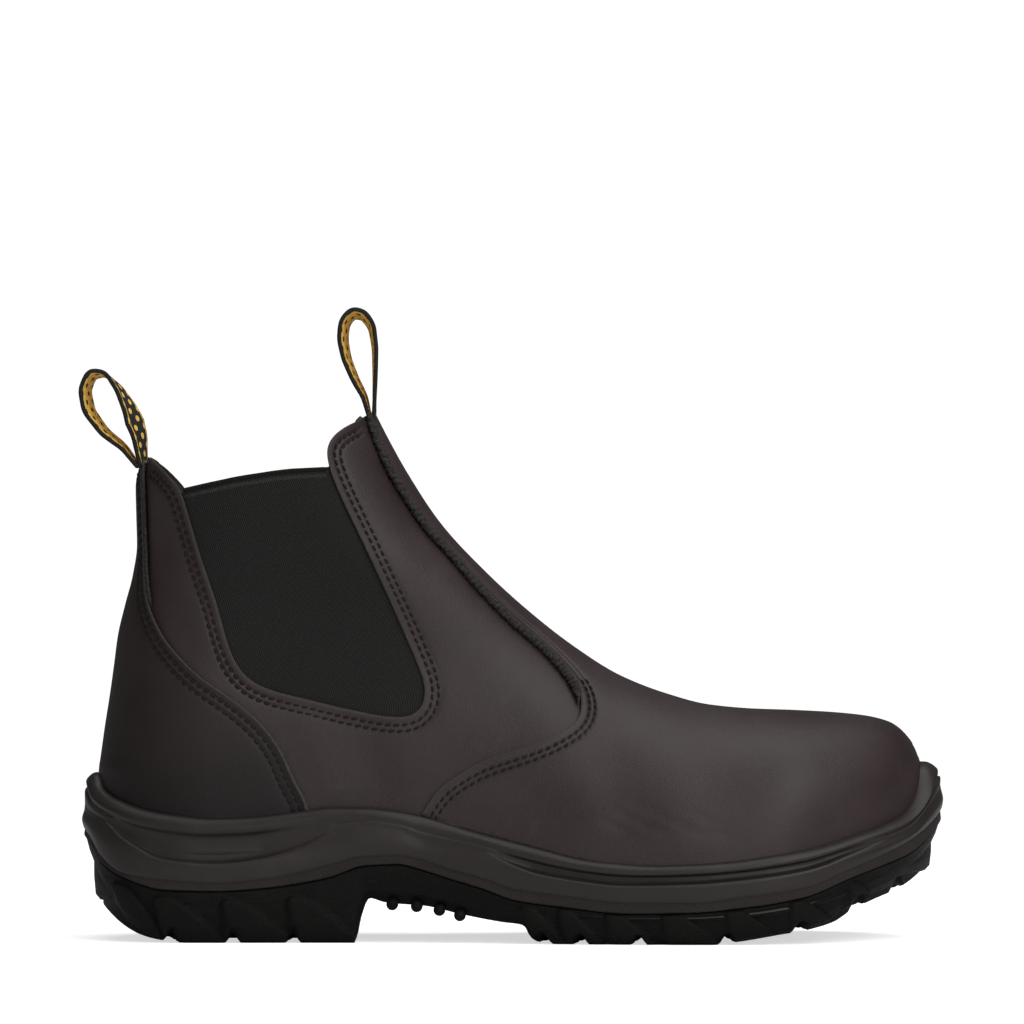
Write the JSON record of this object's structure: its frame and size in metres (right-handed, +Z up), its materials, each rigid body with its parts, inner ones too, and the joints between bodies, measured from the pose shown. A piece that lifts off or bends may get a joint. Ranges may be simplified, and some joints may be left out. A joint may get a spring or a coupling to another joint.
{
  "type": "side gore work boot",
  "caption": "Ankle-high pull-on leather work boot, right foot, with elastic side gores, two webbing pull loops and a lugged sole.",
  "frame": {"origin": "centre of the heel tread, on the floor", "axes": "+X towards the toe, +Y towards the medial side of this right boot, +Z up through the collar"},
  "size_m": [0.3063, 0.1109, 0.2238],
  "materials": {
    "outsole_rubber": "matte moulded rubber",
    "midsole_foam": "satin moulded foam skin",
    "footbed_foam": "fabric-faced foam",
    "leather": "smooth satin leather",
    "vamp_leather": "smooth satin leather",
    "counter_leather": "smooth satin leather",
    "elastic": "ribbed elastic",
    "rolled_seam": "rolled rough edge",
    "webbing_front": "two-tone woven webbing",
    "webbing_rear": "two-tone woven webbing"
  },
  "bodies": {
    "root": {"outsole": "outsole_rubber", "midsole": "midsole_foam", "insole": "footbed_foam", "upper": "leather", "vamp": "vamp_leather", "counter": "counter_leather", "gore_lateral": "elastic", "gore_medial": "elastic", "front_bead_lateral": "rolled_seam", "front_bead_medial": "rolled_seam", "pull_loop_front": "webbing_front", "pull_loop_rear": "webbing_rear"}
  },
  "joints": []
}
